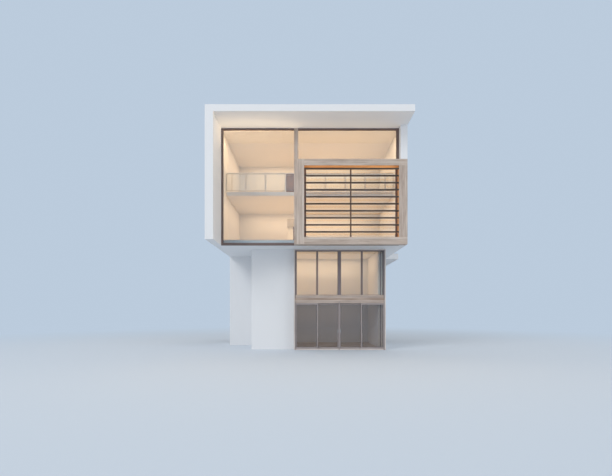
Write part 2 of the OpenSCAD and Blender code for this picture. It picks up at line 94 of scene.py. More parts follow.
class Graph:
    """Builds the shader nodes of one material or of the world."""

    def __init__(self, tree: bpy.types.NodeTree, output: str) -> None:
        """Starts from an empty tree.

        Args:
            tree: The node tree.
            output: The class name of its output node.
        """
        self.tree = tree
        tree.nodes.clear()
        self.output = self.node(output)

    def node(self, kind: str, inputs: dict | None = None, **settings: object) -> bpy.types.Node:
        """Adds a node.

        Args:
            kind: The node's class name.
            inputs: Socket name or index to a value or to another node's socket.
            settings: Properties of the node.

        Returns:
            The new node.
        """
        made = self.tree.nodes.new(kind)
        for name, value in settings.items():
            setattr(made, name, value)
        for name, value in (inputs or {}).items():
            if isinstance(value, Socket):
                self.tree.links.new(value, made.inputs[name])
            else:
                made.inputs[name].default_value = value
        return made

    def tone(self) -> Socket:
        """Returns the tone of the board that a point is on, between -1 and 1."""
        return self.node("ShaderNodeAttribute", attribute_name=BOARD_TONE).outputs["Fac"]

    def noise(self, scale: Point, detail: float = 3.0, rough: float = 0.55, warp: float = 0.0,
              own: float = 0.0) -> Socket:
        """Returns a noise in the object's own coordinates.

        Args:
            scale: Its cells per metre on each axis.
            detail: How many finer layers it has.
            rough: How strong the finer layers are.
            warp: How far it is twisted.
            own: How far apart two boards' patterns lie, so that none runs on into the next.

        Returns:
            The noise's socket, mostly between 0.3 and 0.7.
        """
        where = self.node("ShaderNodeTexCoord").outputs["Object"]
        if own:
            step = tuple(own * share for share in BOARD_SHIFT)
            shift = self.node("ShaderNodeVectorMath", {0: step, "Scale": self.tone()},
                              operation="SCALE")
            where = self.node("ShaderNodeVectorMath", {0: where, 1: shift.outputs[0]},
                              operation="ADD").outputs[0]
        where = self.node("ShaderNodeMapping", {"Vector": where, "Scale": scale}).outputs[0]
        return self.node("ShaderNodeTexNoise", {
            "Vector": where, "Scale": 1.0, "Detail": detail, "Roughness": rough,
            "Distortion": warp}).outputs["Fac"]

    def math(self, operation: str, *values: object) -> Socket:
        """Returns the result of a math node on values or sockets."""
        return self.node("ShaderNodeMath", dict(enumerate(values)), operation=operation).outputs[0]

    def total(self, *parts: tuple[Socket, float]) -> Socket:
        """Adds up sockets.

        Args:
            parts: Each socket and its weight.

        Returns:
            The sum's socket.
        """
        result: object = 0.0
        for socket, weight in parts:
            result = self.math("MULTIPLY_ADD", socket, weight, result)
        return result

    def ramp(self, factor: Socket, stops: Sequence[tuple[float, Colour]]) -> Socket:
        """Returns a colour read from stops at factor.

        Args:
            factor: A socket between 0 and 1.
            stops: Each stop's place and colour, in order.

        Returns:
            The colour socket.
        """
        made = self.node("ShaderNodeValToRGB", {"Fac": factor})
        bar = made.color_ramp.elements
        while len(bar) < len(stops):
            bar.new(0.5)
        for element, (place, colour) in zip(bar, stops):
            element.position = place
            element.color = (*colour, 1.0)
        return made.outputs["Color"]

    def span(self, factor: Socket, to_low: float, to_high: float, low: float = 0.3,
             high: float = 0.7) -> Socket:
        """Maps a factor to another range and clamps it there.

        Args:
            factor: The socket to map.
            to_low: What low becomes.
            to_high: What high becomes.
            low: Where the factor's range starts.
            high: Where the factor's range ends.

        Returns:
            The mapped socket.
        """
        inputs = {"Value": factor, "From Min": low, "From Max": high,
                  "To Min": to_low, "To Max": to_high}
        return self.node("ShaderNodeMapRange", inputs).outputs["Result"]

    def tint(self, colour: Colour, *factors: Socket) -> Socket:
        """Multiplies a colour by grey factors.

        Args:
            colour: The plain colour.
            factors: The sockets of the factors.

        Returns:
            The product's socket.
        """
        base = self.node("ShaderNodeRGB")
        base.outputs[0].default_value = (*colour, 1.0)
        result = base.outputs[0]
        for factor in factors:
            result = self.node("ShaderNodeVectorMath", {0: result, "Scale": factor},
                               operation="SCALE").outputs[0]
        return result

    def bump(self, height: Socket, depth: float, under: Socket | None = None) -> Socket:
        """Bends the surface's normal.

        Args:
            height: The socket of the relief, from 0 to 1.
            depth: What a height of 1 measures.
            under: A normal to bend further.

        Returns:
            The normal's socket.
        """
        inputs = {"Height": height, "Distance": depth, "Strength": 1.0}
        if under is not None:
            inputs["Normal"] = under
        return self.node("ShaderNodeBump", inputs).outputs[0]

    def principled(self, colour: object, rough: object, **others: object) -> Socket:
        """Adds a Principled shader.

        Args:
            colour: Its base colour, as a value or a socket.
            rough: Its roughness, the same way.
            others: Its other inputs. Underscores stand for spaces.

        Returns:
            The shader's socket.
        """
        inputs = {"Base Color": colour, "Roughness": rough}
        inputs.update({name.replace("_", " "): value for name, value in others.items()})
        return self.node("ShaderNodeBsdfPrincipled", inputs).outputs[0]

    def mix(self, factor: object, one: object, other: object) -> Socket:
        """Returns a mix of two shaders."""
        return self.node("ShaderNodeMixShader", {0: factor, 1: one, 2: other}).outputs[0]

    def seen(self) -> Socket:
        """Tells rays of sight from rays of light.

        Returns:
            1 where a surface is seen straight, mirrored or through glass, else 0.
        """
        path = self.node("ShaderNodeLightPath").outputs
        mirrored = self.math("MAXIMUM", path["Is Glossy Ray"], path["Is Transmission Ray"])
        return self.math("MAXIMUM", path["Is Camera Ray"], mirrored)

    def finish(self, shader: Socket) -> None:
        """Connects shader to the output."""
        self.tree.links.new(shader, self.output.inputs["Surface"])


@dataclass(frozen=True)
class Finish(ABC):
    """A surface finish, made once as a material."""

    name: str

    @abstractmethod
    def shade(self, graph: Graph) -> Socket:
        """Builds the shader in graph and returns its socket."""

    def material(self) -> bpy.types.Material:
        """Finds this finish's material, and makes it the first time.

        Returns:
            The material.
        """
        made = bpy.data.materials.get(self.name)
        if made is None:
            made = bpy.data.materials.new(self.name)
            made.use_nodes = True
            graph = Graph(made.node_tree, "ShaderNodeOutputMaterial")
            graph.finish(self.shade(graph))
        return made


@dataclass(frozen=True)
class MineralRender(Finish):
    """Fine render or stone with faint cloudiness, rain marks and a sanded grain."""

    colour: Colour = (0.80, 0.81, 0.83)
    cloud: float = 0.05
    grain_depth: float = 0.0012
    roughness: float = 0.9

    def shade(self, graph: Graph) -> Socket:
        """Builds the render's shader.

        Args:
            graph: Where its nodes go.

        Returns:
            The shader's socket.
        """
        broad = graph.span(graph.noise((0.45, 0.45, 0.3), 4.0), 1 - self.cloud, 1.0)
        patch = graph.span(graph.noise((3.0, 3.0, 2.0), 5.0, 0.65, own=9.0), 0.97, 1.0)
        run = graph.span(graph.noise((5.0, 5.0, 0.18), 3.0), 1.0, 0.965, 0.35, 0.75)
        trowel = graph.bump(graph.noise((9.0, 9.0, 9.0), 3.0), self.grain_depth * 2.0)
        normal = graph.bump(graph.noise((230.0, 230.0, 230.0), 2.0), self.grain_depth, trowel)
        return graph.principled(graph.tint(self.colour, broad, patch, run), self.roughness,
                                Normal=normal)


@dataclass(frozen=True)
class Timber(Finish):
    """Boards with long grain, growth lines and fine cracks. Each board has its own tone."""

    grain: Axis = Axis.X
    dark: Colour = (0.24, 0.19, 0.16)
    middle: Colour = (0.40, 0.33, 0.28)
    light: Colour = (0.54, 0.47, 0.41)
    roughness: float = 0.78
    depth: float = 0.0015

    def along(self, lengthwise: float, across: float) -> Point:
        """Returns a scale with its long side along the grain."""
        return tuple(lengthwise if axis is self.grain else across for axis in Axis)

    def shade(self, graph: Graph) -> Socket:
        """Builds the timber's shader.

        Args:
            graph: Where its nodes go.

        Returns:
            The shader's socket.
        """
        figure = graph.noise(self.along(0.7, 14.0), 4.0, 0.6, 0.6, own=11.0)
        line = graph.noise(self.along(0.5, 62.0), 5.0, 0.65, 1.1, own=5.0)
        fibre = graph.noise(self.along(3.5, 210.0), 3.0, 0.6)
        age = graph.noise(self.along(0.8, 1.6), 3.0, own=3.0)
        mixed = graph.total((figure, 0.4), (line, 0.28), (fibre, 0.14), (age, 0.24),
                            (graph.tone(), 0.055))
        colour = graph.ramp(mixed, [(0.43, self.dark), (0.53, self.middle), (0.64, self.light)])
        normal = graph.bump(figure, self.depth)
        normal = graph.bump(line, self.depth * 0.7, normal)
        normal = graph.bump(fibre, self.depth * 0.35, normal)
        rough = graph.span(fibre, self.roughness - 0.1, self.roughness + 0.1)
        return graph.principled(colour, rough, Normal=normal)


@dataclass(frozen=True)
class PaintedMetal(Finish):
    """Powder-coated or bare metal with a fine skin and a little dust."""

    colour: Colour = (0.11, 0.095, 0.095)
    roughness: float = 0.42
    metallic: float = 0.0

    def shade(self, graph: Graph) -> Socket:
        """Builds the metal's shader.

        Args:
            graph: Where its nodes go.

        Returns:
            The shader's socket.
        """
        skin = graph.noise((420.0, 420.0, 420.0), 2.0)
        dust = graph.span(graph.noise((2.2, 2.2, 1.1), 4.0), 0.92, 1.1, high=0.75)
        rough = graph.span(graph.noise((6.0, 6.0, 6.0), 3.0), self.roughness - 0.06,
                           self.roughness + 0.08)
        return graph.principled(graph.tint(self.colour, dust), rough, Metallic=self.metallic,
                                Normal=graph.bump(skin, 0.0002))


@dataclass(frozen=True)
class Rubber(Finish):
    """Seal rubber or roofing membrane with a dull bloom."""

    colour: Colour = (0.025, 0.025, 0.027)
    roughness: float = 0.7

    def shade(self, graph: Graph) -> Socket:
        """Builds the rubber's shader.

        Args:
            graph: Where its nodes go.

        Returns:
            The shader's socket.
        """
        bloom = graph.noise((40.0, 40.0, 40.0), 3.0)
        wide = graph.span(graph.noise((0.9, 0.9, 0.9), 4.0, own=4.0), 0.9, 1.1)
        fine = graph.span(bloom, 0.9, 1.15)
        return graph.principled(graph.tint(self.colour, wide, fine), self.roughness,
                                Normal=graph.bump(bloom, 0.0004))


@dataclass(frozen=True)
class Glazing(Finish):
    """Coated clear glass with the slight waviness of large panes. Lamps shine through it."""

    colour: Colour = (0.93, 0.97, 0.98)
    index: float = 1.8
    wave_depth: float = 0.0006

    def shade(self, graph: Graph) -> Socket:
        """Builds the glass's shader.

        Args:
            graph: Where its nodes go.

        Returns:
            The shader's socket.
        """
        wave = graph.noise((0.8, 0.8, 0.6), 2.0)
        glass = graph.principled((*self.colour, 1.0), 0.0, IOR=self.index,
                                 Transmission_Weight=1.0,
                                 Normal=graph.bump(wave, self.wave_depth))
        clear = graph.node("ShaderNodeBsdfTransparent", {"Color": (*self.colour, 1.0)})
        lamp = graph.node("ShaderNodeLightPath").outputs["Is Shadow Ray"]
        return graph.mix(lamp, glass, clear.outputs[0])


@dataclass(frozen=True)
class StudioFloor(Finish):
    """Pale floor that fades into the background far from the object."""

    colour: Colour = (0.70, 0.76, 0.83)
    sky: Colour = (0.50, 0.60, 0.72)
    fade_from: float = 6.0
    fade_to: float = 34.0

    def shade(self, graph: Graph) -> Socket:
        """Builds the floor's shader.

        Args:
            graph: Where its nodes go.

        Returns:
            The shader's socket.
        """
        near = graph.principled((*self.colour, 1.0), 0.9)
        far = graph.node("ShaderNodeEmission", {"Color": (*self.sky, 1.0), "Strength": 1.0})
        where = graph.node("ShaderNodeTexCoord").outputs["Object"]
        reach = graph.node("ShaderNodeVectorMath", {0: where}, operation="LENGTH")
        fade = graph.node("ShaderNodeMapRange", {
            "Value": reach.outputs["Value"], "From Min": self.fade_from,
            "From Max": self.fade_to}, interpolation_type="SMOOTHSTEP").outputs["Result"]
        return graph.mix(graph.math("MULTIPLY", fade, graph.seen()), near, far.outputs[0])


def timbers(name: str, *look: object) -> dict[Axis, Timber]:
    """Returns one timber finish per grain axis. What look holds goes to Timber."""
    return {axis: Timber(f"{name}_{axis.name.lower()}", axis, *look) for axis in Axis}


WHITE_RENDER = MineralRender("white_render")
PALE_STONE = MineralRender("pale_stone_tile", (0.56, 0.55, 0.53), roughness=0.7)
WEATHERED = timbers("weathered_timber", (0.38, 0.30, 0.25), (0.54, 0.45, 0.385),
                    (0.66, 0.575, 0.51))
# Slat fronts painted nearly black as painted shade, so the slats stand dark against the lit glass.
SHADED_SLAT = timbers("slat_timber_painted_shade", (0.045, 0.035, 0.030), (0.078, 0.061, 0.053),
               (0.125, 0.102, 0.088))
# Warm brown wood of the sheltered reveals and slat backs, painted lighter and more orange as lamp
# glow from the rooms.
SHELTERED_GLOW = timbers("sheltered_timber_painted_glow", (0.40, 0.19, 0.085), (0.60, 0.335, 0.17),
                    (0.72, 0.45, 0.26))
SPANDREL = timbers("spandrel_timber", (0.32, 0.25, 0.21), (0.47, 0.385, 0.335),
                   (0.57, 0.485, 0.43))
SPANDREL_CAP = timbers("spandrel_cap_timber", (0.27, 0.19, 0.145), (0.41, 0.31, 0.25),
                       (0.51, 0.405, 0.335))
BROWN = timbers("brown_timber", (0.10, 0.05, 0.03), (0.21, 0.115, 0.07), (0.31, 0.18, 0.115),
                0.5, 0.0006)
BAY_BOARD = timbers("bay_board", (0.48, 0.42, 0.39), (0.62, 0.56, 0.53), (0.70, 0.65, 0.62))
# Lining behind the glass, painted pale as painted light on a surface that stands in shade.
PAINTED_LIGHT_LINING = Timber("painted_light_lining", Axis.Z, (0.74, 0.61, 0.48), (0.83, 0.71, 0.58),
                (0.88, 0.79, 0.68), 0.5, 0.0004)
FLOOR_OAK = Timber("pale_oak_floor", Axis.X, (0.36, 0.25, 0.16), (0.54, 0.41, 0.29),
                   (0.66, 0.53, 0.40), 0.5, 0.0004)
DARK_FRAME = PaintedMetal("dark_bronze_frame", (0.165, 0.115, 0.105))
TAUPE_FRAME = PaintedMetal("taupe_bay_frame", (0.20, 0.17, 0.175))
LEAF_FRAME = PaintedMetal("taupe_door_leaf", (0.34, 0.295, 0.29))
WHITE_METAL = PaintedMetal("white_painted_metal", (0.80, 0.81, 0.83), 0.4)
STEEL = PaintedMetal("brushed_steel", (0.55, 0.55, 0.56), 0.3, metallic=1.0)
SEAL = Rubber("black_seal")
MEMBRANE = Rubber("roof_membrane", (0.30, 0.31, 0.32), 0.85)
GLAZING = Glazing("clear_glazing")
DOOR_GLAZING = Glazing("tinted_door_glazing", (0.80, 0.785, 0.79))
STUDIO_FLOOR = StudioFloor("studio_floor")


@dataclass
class Piece:
    """Collects solids into one mesh, each with its own tone."""

    name: str
    bevel: float = 0.003
    segments: int = 2
    seed: int = 1
    points: list[Point] = field(default_factory=list)
    faces: list[Face] = field(default_factory=list)
    dice: random.Random = field(init=False)

    SIDES = (((0, 2, 3, 1), (0, 0, -1)), ((4, 5, 7, 6), (0, 0, 1)), ((0, 1, 5, 4), (0, -1, 0)),
             ((2, 6, 7, 3), (0, 1, 0)), ((0, 4, 6, 2), (-1, 0, 0)), ((1, 3, 7, 5), (1, 0, 0)))

    def __post_init__(self) -> None:
        """Starts the seeded dice for the tones."""
        self.dice = random.Random(self.seed)

    def block(self, low: Sequence[float], high: Sequence[float], slot: int = 0,
              lined: tuple[int, ...] = ()) -> None:
        """Adds a block.

        Args:
            low: Its lowest corner.
            high: Its highest corner.
            slot: The material slot of its faces.
            lined: The normal of the face that gets slot 1 instead.
        """
        first = len(self.points)
        self.points += [(x, y, z) for z in (low[2], high[2]) for y in (low[1], high[1])
                        for x in (low[0], high[0])]
        tone = self.dice.uniform(-1.0, 1.0)
        for quad, normal in self.SIDES:
            corners = tuple(first + corner for corner in quad)
            self.faces.append(Face(corners, tone, 1 if normal == lined else slot))

    def boards(self, row: Iterable[Corners], **look: object) -> None:
        """Adds a block for each board of a row. What look holds goes to block."""
        for low, high in row:
            self.block(low, high, **look)

    def turned(self, foot: Point, axis: Axis, steps: Steps, count: int = 20,
               stretch: float = 0.0) -> None:
        """Adds a solid through circles along an axis, closed at both ends.

        Args:
            foot: The point that the steps are measured from.
            axis: The axis that the circles are strung on.
            steps: Each circle's distance from foot and its radius.
            count: The number of points of a circle, even.
            stretch: Half the length of a circle's straight sides.
        """
        first = len(self.points)
        for along, radius in steps:
            centre = list(foot)
            centre[axis] += along
            self.points += circle(centre, axis, radius, count, stretch)
        last = len(self.points) - count
        tone = self.dice.uniform(-1.0, 1.0)
        for start in range(first, last, count):
            for i in range(count):
                j = (i + 1) % count
                corners = (start + i, start + j, start + count + j, start + count + i)
                self.faces.append(Face(corners, tone, smooth=True))
        for end in (range(first + count - 1, first - 1, -1), range(last, last + count)):
            self.faces.append(Face(tuple(end), tone))

    def build(self, finishes: Sequence[Finish], slot: str = "", replaces: str = "",
              body: Body = Body.HOUSE) -> None:
        """Makes the mesh, sets it on its body, and hides the CAD node that it stands for.

        Args:
            finishes: One finish per material slot.
            slot: The record's material slot. Not used.
            replaces: The CAD node that the piece stands for.
            body: The body that the piece rides on.
        """
        mesh = bpy.data.meshes.new(self.name)
        faces, tones, slots, smooth = zip(*self.faces)
        mesh.from_pydata(self.points, [], faces)
        mesh.attributes.new(BOARD_TONE, "FLOAT", "FACE").data.foreach_set("value", tones)
        for finish in finishes:
            mesh.materials.append(finish.material())
        mesh.polygons.foreach_set("material_index", slots)
        mesh.polygons.foreach_set("use_smooth", smooth)
        mesh.set_sharp_from_angle(angle=SHARP_ANGLE)
        made = add_object(self.name, mesh)
        if self.bevel > 0:
            edge = made.modifiers.new("eased_edges", "BEVEL")
            edge.width = self.bevel
            edge.segments = self.segments
            edge.limit_method = "ANGLE"
        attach(made, body.value)
        if replaces:
            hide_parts(replaces)
        LOG.info("%s: %d faces on %s", made.name, len(mesh.polygons), body.value)


def add_object(name: str, data: bpy.types.ID, place: Point = (0.0, 0.0, 0.0)) -> bpy.types.Object:
    """Adds an object to the scene.

    Args:
        name: Its name.
        data: Its mesh, lamp or camera.
        place: Where it stands.

    Returns:
        The new object.
    """
    made = bpy.data.objects.new(name, data)
    made.location = place
    bpy.context.scene.collection.objects.link(made)
    return made


def soft_lamp(name: str, place: Point, turn: Sequence[float], size: Pair,
              power: float, colour: Colour = (1.0, 1.0, 1.0)) -> None:
    """Adds a rectangular lamp that is seen only by its light.

    Args:
        name: Its name.
        place: Its middle.
        turn: Its turns about X, Y and Z. Without any it faces down.
        size: Its width and length.
        power: Its power in watts.
        colour: Its colour.
    """
    data = bpy.data.lights.new(name, "AREA")
    data.shape = "RECTANGLE"
    data.size, data.size_y = size
    data.energy = power
    data.color = colour
    made = add_object(name, data, place)
    made.rotation_euler = turn
    for sight in ("visible_camera", "visible_glossy", "visible_transmission"):
        setattr(made, sight, False)


def circle(centre: Sequence[float], axis: Axis, radius: float, count: int,
           stretch: float = 0.0) -> list[Point]:
    """Returns a circle, or a slot shape with round ends.

    Args:
        centre: Its middle.
        axis: The axis across it.
        radius: Its radius.
        count: Its number of points, even.
        stretch: Half the length of the straight sides.

    Returns:
        The points in turn.
    """
    across, up = (other for other in Axis if other is not axis)
    points = []
    for i in range(count):
        turn = 2 * math.pi * (i + 0.5) / count
        point = list(centre)
        point[across] += radius * math.cos(turn)
        point[up] += radius * math.sin(turn) + math.copysign(stretch, math.sin(turn))
        points.append(tuple(point))
    return points


def dress(finish: Finish, nodes: Iterable[str]) -> None:
    """Gives CAD nodes a finish.

    Args:
        finish: The finish.
        nodes: The names of the nodes.
    """
    for name in nodes:
        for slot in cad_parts[name].material_slots:
            slot.material = finish.material()
        LOG.info("%s: %s", name, finish.name)


def solids(node: str) -> list[Corners]:
    """Finds the separate solids of a CAD node.

    Args:
        node: The node's name.

    Returns:
        Each solid's lowest and highest corner, from left to right, front to back and up.
    """
    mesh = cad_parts[node].data
    groups: list[set[Point]] = []
    for face in mesh.polygons:
        corners = {tuple(mesh.vertices[i].co) for i in face.vertices}
        touching = [group for group in groups if group & corners]
        groups = [group for group in groups if not group & corners] + [corners.union(*touching)]
    boxes = [(Vector(map(min, *group)), Vector(map(max, *group))) for group in groups]
    return sorted(boxes, key=lambda pair: tuple(round(c, 3) for c in pair[0]))


def split(low: Vector, high: Vector, across: Axis, board_w: float,
          gap: float) -> list[Corners]:
    """Cuts a box into boards.

    Args:
        low: The box's lowest corner.
        high: Its highest corner.
        across: The axis across the boards.
        board_w: About how wide a board is.
        gap: The joint between two boards.

    Returns:
        The corners of each board.
    """
    width = high[across] - low[across]
    count = max(1, round(width / board_w))
    pitch = (width + gap) / count
    boards = []
    for i in range(count):
        a, b = low.copy(), high.copy()
        a[across] = low[across] + i * pitch
        b[across] = a[across] + pitch - gap
        boards.append((a, b))
    return boards


def box(node: str) -> Corners:
    """Returns the lowest and the highest corner of a CAD node."""
    low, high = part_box(node)
    return Vector(low), Vector(high)


@dataclass
class WhiteShell:
    """Rendered walls, floors and roof."""

    nodes: tuple[str, ...] = (
        "roof_slab", "left_blade_wall", "right_front_pier", "upper_right_wall",
        "upper_back_wall", "upper_floor_slab", "gallery_floor", "side_terrace_slab",
        "lower_front_wall", "lower_return_wall", "lower_recessed_wall", "lower_left_wall",
        "lower_right_wall", "lower_back_wall", "lower_cross_wall", "upper_cross_wall",
        "ground_slab", "first_floor_slab",
    )

    def build(self) -> None:
        """Dresses the shell."""
        dress(WHITE_RENDER, self.nodes)


@dataclass
class RoofTrim:
    """Capping sheets on the upstand, membrane strips on the deck and a roof outlet."""

    upstand_w: float = 0.30
    capping_t: float = 0.004
    sheet_l: float = 2.4
    sheet_gap: float = 0.003
    seam_t: float = 0.003
    seam_w: float = 0.05
    turn_down: float = 0.045
    membrane_t: float = 0.004
    strip_w: float = 1.05
    lap_w: float = 0.08
    lap_t: float = 0.002
    outlet_inset: float = 1.4
    outlet_sides: int = 32
    flange: Steps = ((0.0, 0.165), (0.004, 0.165), (0.008, 0.1155), (0.012, 0.11))
    cap: Steps = ((0.044, 0.0825), (0.046, 0.1078), (0.052, 0.099), (0.058, 0.055))
    bars: int = 16
    bar_ring: float = 0.0968
    bar_half: float = 0.005
    bar_z: Pair = (0.010, 0.048)

    def build(self) -> None:
        """Builds the three pieces."""
        self.upstand()
        self.membrane()
        self.outlet()

    def upstand(self) -> None:
        """Builds the upstand's core with its capping."""
        low, high = box("roof_upstand")
        piece = Piece("roof_upstand_capping", bevel=0.001, seed=41)
        w, t = self.upstand_w, self.capping_t
        top = high[2] - self.seam_t - t
        x, y = ((low[i], low[i] + w, high[i] - w, high[i]) for i in (0, 1))
        for along, x0, x1, y0, y1 in (
                (Axis.X, x[0], x[3], y[0], y[1]), (Axis.X, x[0], x[3], y[2], y[3]),
                (Axis.Y, x[0], x[1], y[1], y[2]), (Axis.Y, x[2], x[3], y[1], y[2])):
            piece.block((x0, y0, low[2]), (x1, y1, top))
            sheets = split(Vector((x0, y0, top)), Vector((x1, y1, top + t)), along,
                           self.sheet_l, self.sheet_gap)
            piece.boards(sheets, slot=1)
            for a, b in sheets[1:]:
                a[along] -= self.seam_w / 2
                b[along] = a[along] + self.seam_w
                a[2], b[2] = b[2], high[2]
                piece.block(a, b, slot=1)
        inner = top - self.turn_down
        for a, b in (((x[1], y[1], inner), (x[2], y[1] + t, top + t)),
                     ((x[1], y[2] - t, inner), (x[2], y[2], top + t)),
                     ((x[1], y[1] + t, inner), (x[1] + t, y[2] - t, top)),
                     ((x[2] - t, y[1] + t, inner), (x[2], y[2] - t, top))):
            piece.block(a, b, slot=1)
        piece.build([WHITE_RENDER, WHITE_METAL], "white_render", "roof_upstand")

    def membrane(self) -> None:
        """Lays the membrane strips inside the upstand, with a welded lap between two."""
        low, high = box("roof_upstand")
        piece = Piece("roof_membrane_strips", bevel=0.0, seed=43)
        edge = self.upstand_w + self.capping_t
        strips = split(Vector((low[0] + edge, low[1] + edge, low[2])),
                       Vector((high[0] - edge, high[1] - edge, low[2] + self.membrane_t)),
                       Axis.X, self.strip_w, 0.0)
        piece.boards(strips)
        for a, b in strips[1:]:
            piece.block((a[0] - self.lap_w, a[1], b[2]), (a[0], b[1], b[2] + self.lap_t))
        piece.build([MEMBRANE])

    def outlet(self) -> None:
        """Builds the roof outlet with its round grate."""
        low, high = box("roof_upstand")
        x, y = high[0] - self.outlet_inset, high[1] - self.outlet_inset
        z = low[2] + self.membrane_t
        piece = Piece("roof_outlet", bevel=0.0, seed=44)
        for steps in (self.flange, self.cap):
            piece.turned((x, y, z), Axis.Z, steps, self.outlet_sides)
        half, (foot, head) = self.bar_half, self.bar_z
        for i in range(self.bars):
            turn = 2 * math.pi * i / self.bars
            bar_x, bar_y = x + self.bar_ring * math.cos(turn), y + self.bar_ring * math.sin(turn)
            piece.block((bar_x - half, bar_y - half, z + foot),
                        (bar_x + half, bar_y + half, z + head))
        piece.build([STEEL])


@dataclass
class TerraceTiles:
    """Stone tiles on the side terrace."""

    tile: float = 0.60
    tile_t: float = 0.02
    gap: float = 0.004
    margin: float = 0.03

    def build(self) -> None:
        """Lays the tiles."""
        low, high = box("side_terrace_slab")
        inset = Vector((self.margin, self.margin, 0.0))
        low, high = low + inset, high - inset
        low[2], high[2] = high[2], high[2] + self.tile_t
        piece = Piece("terrace_tiles", bevel=0.002, seed=51)
        for a, b in split(low, high, Axis.Y, self.tile, self.gap):
            piece.boards(split(a, b, Axis.X, self.tile, self.gap))
        piece.build([PALE_STONE])


@dataclass
class LouvreBox:
    """Timber box of face boards on a frame, lined inside with warm wood and painted lamp glow,
    with fixed slats painted dark as shade.
    """

    board_t: float = 0.024
    board_w: float = 0.13
    gap: float = 0.005
    slat_edge: float = 0.010

    def build(self) -> None:
        """Builds the stiles, the rails and the slats."""
        self.members("louvre_stile_boards", "louvre_stiles", Axis.Z, Axis.X)
        self.members("louvre_rail_boards", "louvre_rails", Axis.X, Axis.Z)
        # The slat fronts wear painted shade, and their backs towards the glass wear painted lamp
        # glow.
        slats = Piece("louvre_slat_boards", bevel=self.slat_edge, segments=3, seed=21)
        slats.boards(solids("louvre_slats"), lined=(0, 1, 0))
        slats.build([SHADED_SLAT[Axis.X], SHELTERED_GLOW[Axis.X]], "weathered_timber", "louvre_slats")

    def members(self, name: str, node: str, grain: Axis, across: Axis) -> None:
        """Covers each box of the frame with boards, and lines the side towards the slats.

        Args:
            name: The new piece's name.
            node: The CAD node that the piece stands for.
            grain: The axis that the boards run along.
            across: The axis across the boards.
        """
        piece = Piece(name, seed=11 + grain)
        middle = sum(box("louvre_rails"), Vector()) / 2
        for low, high in solids(node):
            toward = 1 if (low[across] + high[across]) / 2 < middle[across] else -1
            lined = tuple(toward if axis is across else 0 for axis in Axis)
            face, core = high.copy(), low.copy()
            face[1] = low[1] + self.board_t
            core[1] += self.board_t
            piece.boards(split(low, face, across, self.board_w, self.gap), lined=lined)
            piece.block(core, high, lined=lined)
        # The lined side wears sheltered wood with painted lamp glow.
        piece.build([WEATHERED[grain], SHELTERED_GLOW[grain]], "weathered_timber", node)


@dataclass
class BayTimber:
    """Boards round the two-storey bay, its spandrel and rails, and a lining at its right."""

    board_w: float = 0.14
    gap: float = 0.003
    cap_h: float = 0.10
    facing_t: float = 0.012
    facing_gap: float = 0.0005
    rabbet: float = 0.004
    lining_t: float = 0.012
    edge_x: Pair = (0.085, 0.14)

    def build(self) -> None:
        """Builds the boards and dresses the plain timbers."""
        self.lining()
        for node, grain in (("bay_side_boards", Axis.Z), ("bay_head_board", Axis.X)):
            piece = Piece(node.replace("board", "cover_board"), seed=61 + grain)
            for low, high in solids(node):
                piece.boards(split(low, high, Axis.Y, self.board_w, self.gap))
            piece.build([BAY_BOARD[grain]], "bay_board", node)
        self.spandrel()
        dress(SPANDREL[Axis.X], ["door_head_frame"])
        dress(BAY_BOARD[Axis.X], ["door_threshold"])
        dress(WEATHERED[Axis.Z], ["tall_timber_post"])

    def spandrel(self) -> None:
        """Builds the spandrel and the rails, both with a thin facing across the posts."""
        low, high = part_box("bay_spandrel_board")
        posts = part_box("bay_posts")
        left, right = posts[0][0] + self.facing_gap, posts[1][0] - self.facing_gap
        front, back = low[1] - self.facing_t, low[1] - self.facing_gap
        seam = high[2] - self.cap_h
        piece = Piece("spandrel_boards", seed=65)
        piece.boards(solids("bay_spandrel_board"))
        piece.block((left, front, low[2]), (right, back, seam))
        piece.block((left, front + self.rabbet, seam), (right, back, high[2]), slot=1)
        piece.build([SPANDREL[Axis.X], SPANDREL_CAP[Axis.X]], "weathered_timber",
                    "bay_spandrel_board")
        rails, bars = Piece("first_floor_rails", seed=66), solids("first_floor_transoms")
        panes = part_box("first_floor_panes")
        for a, b in bars:
            rails.block(a, b, slot=1 if a[2] > (panes[0][2] + panes[1][2]) / 2 else 0)
        rails.block((low[0], front + self.rabbet, high[2] + self.facing_gap),
                    (high[0], back, bars[0][1][2]))
        rails.build([SPANDREL[Axis.X], TAUPE_FRAME], "weathered_timber", "first_floor_transoms")

    def lining(self) -> None:
        """Lines the end of the right wall behind the glass, with a brown edge board."""
        inner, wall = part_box("lower_right_wall")[0][:2]
        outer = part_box("first_floor_transoms")[1][0]
        back = wall - self.facing_gap
        face = back - self.lining_t - self.facing_gap
        piece = Piece("bay_wall_lining", seed=67)
        for node in ("fixed_door_panes", "first_floor_panes"):
            low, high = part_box(node)
            piece.block((inner, back - self.lining_t, low[2]), (outer, back, high[2]))
            piece.block((inner + self.edge_x[0], face - self.lining_t, low[2]),
                        (inner + self.edge_x[1], face, high[2]), slot=1)
        # The lining's pale colour is painted light; the brown edge board keeps its own colour.
        piece.build([PAINTED_LIGHT_LINING, BROWN[Axis.Z]], "brown_timber")


